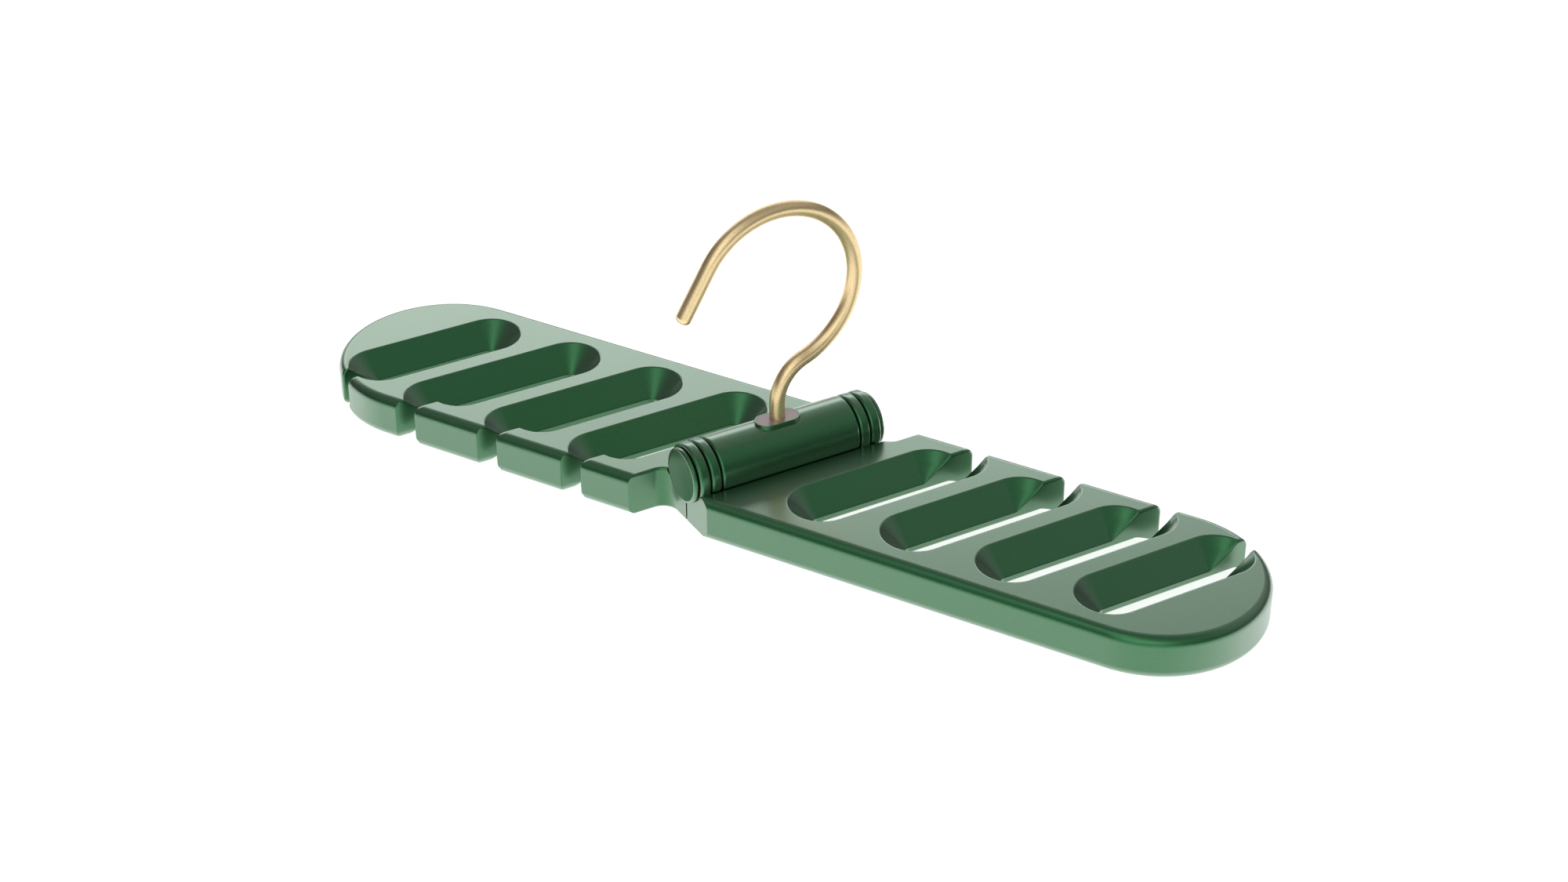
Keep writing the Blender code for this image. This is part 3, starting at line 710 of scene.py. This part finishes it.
def hook_points(leaf, hook):
    """The wire's centre line as (y, z, thickness) triples: head, neck, crook, tail and tip."""
    centre_height = hook.crook_height + leaf.thickness
    across = hook.crook_radius + hook.neck_radius
    neck_top = centre_height - math.sqrt(across ** 2 - hook.neck_radius ** 2)
    meeting = math.atan2(centre_height - neck_top, -hook.neck_radius)
    foot = HOOK_LOW.z
    shoulder = foot + hook.head_thickness
    points = [(0, foot, hook.head_radius), (0, shoulder, hook.head_radius), (0, shoulder + HAIR, hook.wire_radius)]
    neck = arc((hook.neck_radius, neck_top), hook.neck_radius, math.pi, meeting, NECK_STEPS)
    crook = arc((0, centre_height), hook.crook_radius, meeting - math.pi, hook.tail_angle, HOOK_STEPS)
    points += [(y, z, hook.wire_radius) for y, z in neck + crook[1:]]
    y, z = crook[-1]
    heading = hook.tail_angle + QUARTER
    run = hook.tail_length - hook.tip_round
    flat = hook.wire_radius - hook.tip_round
    tip = arc((run, flat), hook.tip_round, QUARTER, 0, 2 * FILLET_STEPS)
    for along, radius in tip:
        points.append((y + along * math.cos(heading), z + along * math.sin(heading), radius))
    return points


def make_hook(leaf, hook, material):
    """Bent wire drawn along its centre line by a node tree."""
    points = hook_points(leaf, hook)
    curve = bpy.data.curves.new("hook_line", "CURVE")
    curve.dimensions = "3D"
    spline = curve.splines.new("POLY")
    spline.points.add(len(points) - 1)
    for point, (y, z, radius) in zip(spline.points, points):
        point.co = (0, y, z, 1)
        point.radius = radius
    line = bpy.data.objects.new("hook_line", curve)
    bpy.context.scene.collection.objects.link(line)
    tree, ids = wire_tree()
    wire = line.modifiers.new("Bent Wire", "NODES")
    wire.node_group = tree
    wire[ids["Sides"]] = WIRE_SIDES
    wire[ids["Finish"]] = material
    mesh = shaped_mesh(line)
    bpy.data.objects.remove(line, do_unlink=True)
    item = bpy.data.objects.new("wire_hook", mesh)
    bpy.context.scene.collection.objects.link(item)
    smooth(item, WIRE_SHARP_ANGLE)
    return item


# Finishes

def node(tree, kind, **values):
    """A node with its settings and its input values."""
    made = tree.nodes.new(kind)
    for key, value in values.items():
        if key in made.inputs:
            made.inputs[key].default_value = value
        else:
            setattr(made, key, value)
    return made


def finish(name, roughness, metallic, **values):
    """A Principled material, with Object coordinates ready for its pattern."""
    material = bpy.data.materials.new(name)
    material.use_nodes = True
    tree = material.node_tree
    shader = tree.nodes["Principled BSDF"]
    shader.inputs["Roughness"].default_value = roughness
    shader.inputs["Metallic"].default_value = metallic
    for key, value in values.items():
        shader.inputs[key.replace("_", " ")].default_value = value
    place_on = node(tree, "ShaderNodeTexCoord")
    return material, tree, shader, place_on.outputs["Object"]


def noise(tree, coordinates, scale, detail=3.0, roughness=0.6):
    made = node(tree, "ShaderNodeTexNoise", Scale=scale, Detail=detail, Roughness=roughness)
    tree.links.new(coordinates, made.inputs["Vector"])
    return made.outputs["Fac"]


def blend_colours(tree, factor, low, high, start=0.3, end=0.7):
    """Colour between two, by where a factor lies in a range."""
    ramp = node(tree, "ShaderNodeValToRGB")
    ramp.color_ramp.elements[0].position = start
    ramp.color_ramp.elements[1].position = end
    ramp.color_ramp.elements[0].color = (*low, 1)
    ramp.color_ramp.elements[1].color = (*high, 1)
    tree.links.new(factor, ramp.inputs["Fac"])
    return ramp.outputs["Color"]


def spread(tree, factor, low, high, start=0.0, end=1.0):
    """Value between two limits, by where a factor lies in a range."""
    made = node(tree, "ShaderNodeMapRange")
    made.inputs["From Min"].default_value = start
    made.inputs["From Max"].default_value = end
    made.inputs["To Min"].default_value = low
    made.inputs["To Max"].default_value = high
    tree.links.new(factor, made.inputs["Value"])
    return made.outputs["Result"]


def bump(tree, shader, heights, strength, distance):
    made = node(tree, "ShaderNodeBump", Strength=strength, Distance=distance)
    tree.links.new(heights, made.inputs["Height"])
    tree.links.new(made.outputs["Normal"], shader.inputs["Normal"])


def satin_green(finishes):
    """Satin coat with a powder-fine grain that turns pale at a glancing angle."""
    material, tree, shader, where = finish("satin_green_coat", roughness=0.42, metallic=0.95,
                                            Coat_Roughness=0.25, Coat_IOR=3.0)
    glance = node(tree, "ShaderNodeLayerWeight", Blend=0.5)
    tree.links.new(spread(tree, glance.outputs["Facing"], low=0.0, high=0.85, start=0.09, end=0.52),
                   shader.inputs["Coat Weight"])
    grain = noise(tree, where, scale=2600.0, detail=2.0)
    cloud = noise(tree, where, scale=40.0)
    tree.links.new(blend_colours(tree, grain, tuple(finishes.coat_colour), tuple(finishes.coat_light)),
                   shader.inputs["Base Color"])
    tree.links.new(spread(tree, cloud, low=0.33, high=0.40), shader.inputs["Roughness"])
    bump(tree, shader, grain, strength=0.25, distance=0.00003)
    return material


def satin_gold(finishes):
    """Satin gold plate with a fine grain."""
    material, tree, shader, where = finish("satin_gold_plate", roughness=0.3, metallic=1.0)
    grain = noise(tree, where, scale=3200.0, detail=2.0, roughness=0.7)
    cloud = noise(tree, where, scale=60.0)
    base = blend_colours(tree, grain, tuple(finishes.gold_deep), tuple(finishes.gold_colour), start=0.25, end=0.6)
    tree.links.new(base, shader.inputs["Base Color"])
    tree.links.new(spread(tree, cloud, low=0.36, high=0.42), shader.inputs["Roughness"])
    bump(tree, shader, grain, strength=0.15, distance=0.00001)
    return material


def rose_plate(finishes):
    """Matt rose-grey metal plate."""
    material, tree, shader, where = finish("rose_plate_metal", roughness=0.35, metallic=0.35)
    grain = noise(tree, where, scale=1800.0, detail=2.0)
    base = Vector(finishes.plate_colour)
    tree.links.new(blend_colours(tree, grain, tuple(base * 0.97), tuple(base * 1.03)), shader.inputs["Base Color"])
    tree.links.new(spread(tree, grain, low=0.32, high=0.38), shader.inputs["Roughness"])
    bump(tree, shader, grain, strength=0.1, distance=0.00001)
    return material


def pin_steel(finishes):
    """Ground steel with rings left by the lathe."""
    material, tree, shader, where = finish("ground_steel", roughness=0.3, metallic=1.0)
    rings = node(tree, "ShaderNodeTexWave", Scale=900.0, Distortion=1.5, Detail=2.0)
    rings.bands_direction = "Y"
    tree.links.new(where, rings.inputs["Vector"])
    base = Vector(finishes.steel_colour)
    tree.links.new(blend_colours(tree, rings.outputs["Fac"], tuple(base * 0.9), tuple(base)),
                   shader.inputs["Base Color"])
    tree.links.new(spread(tree, rings.outputs["Fac"], low=0.25, high=0.4), shader.inputs["Roughness"])
    bump(tree, shader, rings.outputs["Fac"], strength=0.1, distance=0.00001)
    return material


def washer_polymer(finishes):
    """Dark moulded polymer."""
    material, tree, shader, where = finish("washer_acetal", roughness=0.5, metallic=0.0)
    grain = noise(tree, where, scale=1500.0, detail=2.0)
    base = Vector(finishes.washer_colour)
    tree.links.new(blend_colours(tree, grain, tuple(base * 0.8), tuple(base * 1.3)), shader.inputs["Base Color"])
    tree.links.new(spread(tree, grain, low=0.42, high=0.58), shader.inputs["Roughness"])
    bump(tree, shader, grain, strength=0.15, distance=0.00002)
    return material


# Stage

# Brightness of the world against the sine of the angle above the horizon; below it, the first holds
WORLD_LEVELS = ((0.0, 0.10), (0.22, 0.20), (0.50, 0.80), (0.76, 1.0), (1.0, 0.65))


def lamp(name, energy, heading, lift, distance, width, height):
    """Soft rectangular lamp aimed at the object.

    Its heading is counted from +X towards +Y, and its lift from the floor, both in degrees.
    """
    turn, rise = math.radians(heading), math.radians(lift)
    data = bpy.data.lights.new(name, "AREA")
    data.energy = energy
    data.shape = "RECTANGLE"
    data.size = width
    data.size_y = height
    item = bpy.data.objects.new(name, data)
    bpy.context.scene.collection.objects.link(item)
    away = Vector((math.cos(turn) * math.cos(rise), math.sin(turn) * math.cos(rise), math.sin(rise)))
    item.location = distance * away
    item.rotation_euler = away.to_track_quat("Z", "Y").to_euler()
    return item


def floor_material(stage):
    """Pale floor that keeps the object's shadow and looks white where nothing shades it."""
    material = bpy.data.materials.new("pale_floor")
    material.use_nodes = True
    tree = material.node_tree
    shader = tree.nodes["Principled BSDF"]
    shader.inputs["Roughness"].default_value = 0.9
    shader.inputs["Specular IOR Level"].default_value = 0.0
    position = node(tree, "ShaderNodeTexCoord")
    cloud = noise(tree, position.outputs["Object"], scale=4.0, detail=2.0)
    base = Vector(stage.floor_colour)
    tree.links.new(blend_colours(tree, cloud, tuple(base), tuple(base * 1.01)), shader.inputs["Base Color"])
    return material, tree, shader


def white_to_camera(tree):
    """Factor that is 1 for rays that show the background directly or in a reflection."""
    path = node(tree, "ShaderNodeLightPath")
    first = node(tree, "ShaderNodeMath", operation="MAXIMUM")
    second = node(tree, "ShaderNodeMath", operation="MAXIMUM")
    tree.links.new(path.outputs["Is Camera Ray"], first.inputs[0])
    tree.links.new(path.outputs["Is Glossy Ray"], first.inputs[1])
    tree.links.new(first.outputs[0], second.inputs[0])
    tree.links.new(path.outputs["Is Transmission Ray"], second.inputs[1])
    return second.outputs[0]


def make_floor(stage):
    """Wide floor that glows where it is seen as the background, directly or in a reflection."""
    bm = bmesh.new()
    bmesh.ops.create_grid(bm, x_segments=8, y_segments=8, size=stage.floor_size / 2)
    floor = object_from(bm, "floor")
    material, tree, shader = floor_material(stage)
    glow = node(tree, "ShaderNodeMath", operation="MULTIPLY")
    glow.inputs[1].default_value = stage.floor_glow
    tree.links.new(white_to_camera(tree), glow.inputs[0])
    shader.inputs["Emission Color"].default_value = (1, 1, 1, 1)
    tree.links.new(glow.outputs[0], shader.inputs["Emission Strength"])
    floor.data.materials.append(material)


def make_world(stage):
    """Soft light from all round, dim near the floor and on one side."""
    world = bpy.data.worlds.new("studio")
    world.use_nodes = True
    tree = world.node_tree
    background = tree.nodes["Background"]
    background.inputs["Strength"].default_value = stage.world_light
    heading = node(tree, "ShaderNodeTexCoord")
    parts = node(tree, "ShaderNodeSeparateXYZ")
    ramp = node(tree, "ShaderNodeValToRGB")
    points = ramp.color_ramp.elements
    while len(points) < len(WORLD_LEVELS):
        points.new(0.5)
    for point, (height, level) in zip(points, WORLD_LEVELS):
        point.position = height
        point.color = (level, level, level, 1)
    tree.links.new(heading.outputs["Generated"], parts.inputs[0])
    tree.links.new(parts.outputs["Z"], ramp.inputs["Fac"])
    side = node(tree, "ShaderNodeVectorMath", operation="DOT_PRODUCT")
    side.inputs[1].default_value = (math.cos(stage.dim_heading), math.sin(stage.dim_heading), 0)
    tree.links.new(heading.outputs["Generated"], side.inputs[0])
    dimmed = node(tree, "ShaderNodeVectorMath", operation="SCALE")
    tree.links.new(ramp.outputs["Color"], dimmed.inputs[0])
    tree.links.new(spread(tree, side.outputs["Value"], low=1.0, high=0.45, start=0.15, end=0.7),
                   dimmed.inputs["Scale"])
    tree.links.new(dimmed.outputs["Vector"], background.inputs["Color"])
    bpy.context.scene.world = world


def make_camera(stage, leaf):
    """Camera at the photograph's viewing angle."""
    turn, lift = stage.azimuth, stage.elevation
    right = Vector((math.cos(turn), math.sin(turn), 0))
    back = Vector((math.sin(turn) * math.cos(lift), -math.cos(turn) * math.cos(lift), math.sin(lift)))
    up = back.cross(right)
    middle = Vector((0, 0, leaf.thickness))
    data = bpy.data.cameras.new("camera")
    data.sensor_width = 36.0
    data.lens = stage.focal
    data.clip_start = 0.01
    camera = bpy.data.objects.new("camera", data)
    bpy.context.scene.collection.objects.link(camera)
    camera.location = middle + stage.distance * back + stage.aim_right * right + stage.aim_up * up
    camera.rotation_euler = Matrix((right, up, back)).transposed().to_euler()
    bpy.context.scene.camera = camera


# Operators

def settings(context):
    return context.scene.belt_hanger


def material_of(name):
    material = bpy.data.materials.get(name)
    if material is None:
        raise RuntimeError(f"the finish {name} isn't made yet")
    return material


class MakeFinishes(Operator):
    """Make the finishes of every piece"""

    bl_idname = "belt_hanger.finishes"
    bl_label = "Finishes"

    def execute(self, context):
        finishes = settings(context).finish
        for make in (satin_green, satin_gold, rose_plate, pin_steel, washer_polymer):
            make(finishes)
        return {"FINISHED"}


class MakeLeaves(Operator):
    """Make both slotted leaves with their knuckles"""

    bl_idname = "belt_hanger.leaves"
    bl_label = "Leaves"

    def execute(self, context):
        values = settings(context)
        green = material_of("satin_green_coat")
        right = make_leaf(values.leaf, values.hinge, green)
        left = bpy.data.objects.new("left_leaf", right.data.copy())
        context.scene.collection.objects.link(left)
        right.name = "right_leaf"
        place(right)
        place(left, math.pi)
        dress(right, green, "leaf_right", "satin_green", "leaf_right")
        dress(left, green, "leaf_left", "satin_green", "leaf_left")
        return {"FINISHED"}


class MakeBarrel(Operator):
    """Make the barrel with its boss"""

    bl_idname = "belt_hanger.barrel"
    bl_label = "Barrel"

    def execute(self, context):
        values = settings(context)
        item = make_barrel(values.hinge, values.hook)
        dress(item, material_of("satin_green_coat"), "barrel", "satin_green", "barrel")
        return {"FINISHED"}


class MakeCaps(Operator):
    """Make the two dished caps"""

    bl_idname = "belt_hanger.caps"
    bl_label = "Caps"

    def execute(self, context):
        hinge = settings(context).hinge
        for name, node_name, turn in (("front_cap", "pin_cap_front", math.pi), ("rear_cap", "pin_cap_rear", 0)):
            item = make_cap(hinge, name, turn)
            dress(item, material_of("satin_green_coat"), "barrel", "satin_green", node_name)
        return {"FINISHED"}


class MakePlate(Operator):
    """Make the plate let into the boss"""

    bl_idname = "belt_hanger.plate"
    bl_label = "Inlay Plate"

    def execute(self, context):
        values = settings(context)
        item = make_plate(values.hinge, values.hook)
        dress(item, material_of("rose_plate_metal"), "barrel", "rose_plate", "swivel_plate")
        return {"FINISHED"}


class MakeHook(Operator):
    """Make the bent wire hook"""

    bl_idname = "belt_hanger.hook"
    bl_label = "Hook"

    def execute(self, context):
        values = settings(context)
        gold = material_of("satin_gold_plate")
        item = make_hook(values.leaf, values.hook, gold)
        dress(item, gold, "hook", "satin_gold", "hook")
        return {"FINISHED"}


class DressFrame(Operator):
    """Give the pin and the washers their finishes"""

    bl_idname = "belt_hanger.frame_nodes"
    bl_label = "Pin and Washers"

    def execute(self, context):
        finishes = {"hinge_pin": "ground_steel", "swivel_washer": "washer_acetal"}
        for name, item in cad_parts.items():
            if name.startswith("wear_washer"):
                finishes[name] = "washer_acetal"
            if name in finishes:
                item.data.materials.clear()
                item.data.materials.append(material_of(finishes[name]))
        return {"FINISHED"}


class MakeStage(Operator):
    """Make the camera, the lamps, the floor and the world"""

    bl_idname = "belt_hanger.stage"
    bl_label = "Stage"

    def execute(self, context):
        values = settings(context)
        stage = values.stage
        make_camera(stage, values.leaf)
        make_floor(stage)
        make_world(stage)
        lamp("key_lamp", stage.key_light, heading=-40, lift=26, distance=1.5, width=1.2, height=1.0)
        lamp("back_lamp", stage.back_light, heading=160, lift=24, distance=1.6, width=1.85, height=0.62)
        lamp("top_lamp", stage.top_light, heading=-68, lift=58, distance=1.4, width=0.6, height=0.6)
        context.scene.view_settings.view_transform = "Standard"
        return {"FINISHED"}


class BELT_HANGER_PT_pieces(Panel):
    """Lists what can be made"""

    bl_idname = "BELT_HANGER_PT_pieces"
    bl_label = "Belt Hanger"
    bl_space_type = "VIEW_3D"
    bl_region_type = "UI"
    bl_category = "Belt Hanger"

    def draw(self, context):
        for operator in OPERATORS:
            self.layout.operator(operator.bl_idname)
        for name in ("leaf", "hinge", "hook", "finish", "stage"):
            group = getattr(settings(context), name)
            box = self.layout.box()
            box.label(text=name.title())
            for key in group.__annotations__:
                box.prop(group, key)


OPERATORS = (MakeFinishes, MakeLeaves, MakeBarrel, MakeCaps, MakePlate, MakeHook, DressFrame, MakeStage)
CLASSES = (LeafSettings, HingeSettings, HookSettings, FinishSettings, StageSettings, BeltHangerSettings,
           *OPERATORS, BELT_HANGER_PT_pieces)


def register():
    for item in CLASSES:
        bpy.utils.register_class(item)
    bpy.types.Scene.belt_hanger = PointerProperty(type=BeltHangerSettings)


def unregister():
    del bpy.types.Scene.belt_hanger
    for item in reversed(CLASSES):
        bpy.utils.unregister_class(item)


def main():
    register()
    bpy.ops.belt_hanger.finishes()
    bpy.ops.belt_hanger.leaves()
    bpy.ops.belt_hanger.barrel()
    bpy.ops.belt_hanger.caps()
    bpy.ops.belt_hanger.plate()
    bpy.ops.belt_hanger.hook()
    bpy.ops.belt_hanger.frame_nodes()
    bpy.ops.belt_hanger.stage()


if __name__ == "__main__":
    main()
